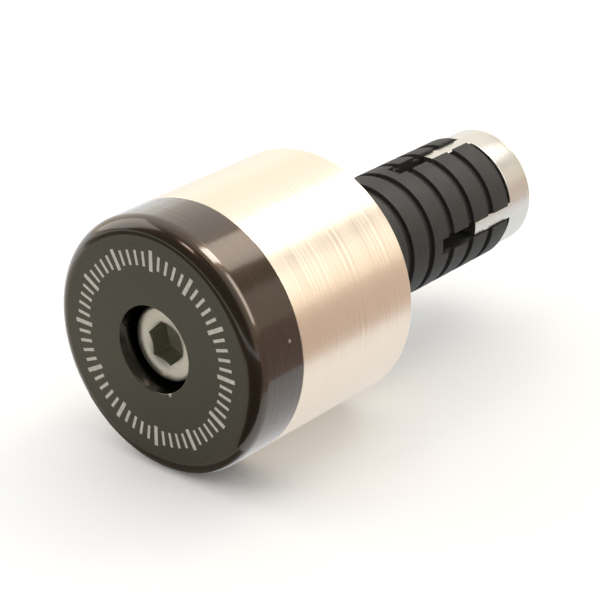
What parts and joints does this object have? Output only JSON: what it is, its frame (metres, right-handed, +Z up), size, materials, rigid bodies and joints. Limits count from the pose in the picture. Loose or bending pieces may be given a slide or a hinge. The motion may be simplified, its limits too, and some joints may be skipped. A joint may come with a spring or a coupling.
{
  "type": "bar end weight",
  "caption": "Round handlebar end weight: black end cap on a bright steel weight, clamped by a socket screw to an expander inside the bar.",
  "frame": {"origin": "on the bar's axis, in the plane of the weight's rear shoulder, where the bar ends", "axes": "+Y along the bar's axis, inboard, so that the cap faces -Y; +Z up"},
  "size_m": [0.033, 0.0679, 0.033],
  "materials": {
    "cap_anodised": "turned aluminium, black anodised",
    "weight_steel": "finely turned and polished stainless steel",
    "screw_steel": "satin stainless steel",
    "washer_steel": "plain stainless steel",
    "bush_rubber": "moulded black rubber",
    "nut_alloy": "turned and milled aluminium",
    "pale_marks": "pale graduation marks burnt into the anodising"
  },
  "bodies": {
    "root": {"end_cap": "cap_anodised", "bar_end_weight": "weight_steel", "cap_screw": "screw_steel", "head_washer": "washer_steel", "expander_bush": "bush_rubber", "cone_nut": "nut_alloy"}
  },
  "joints": []
}
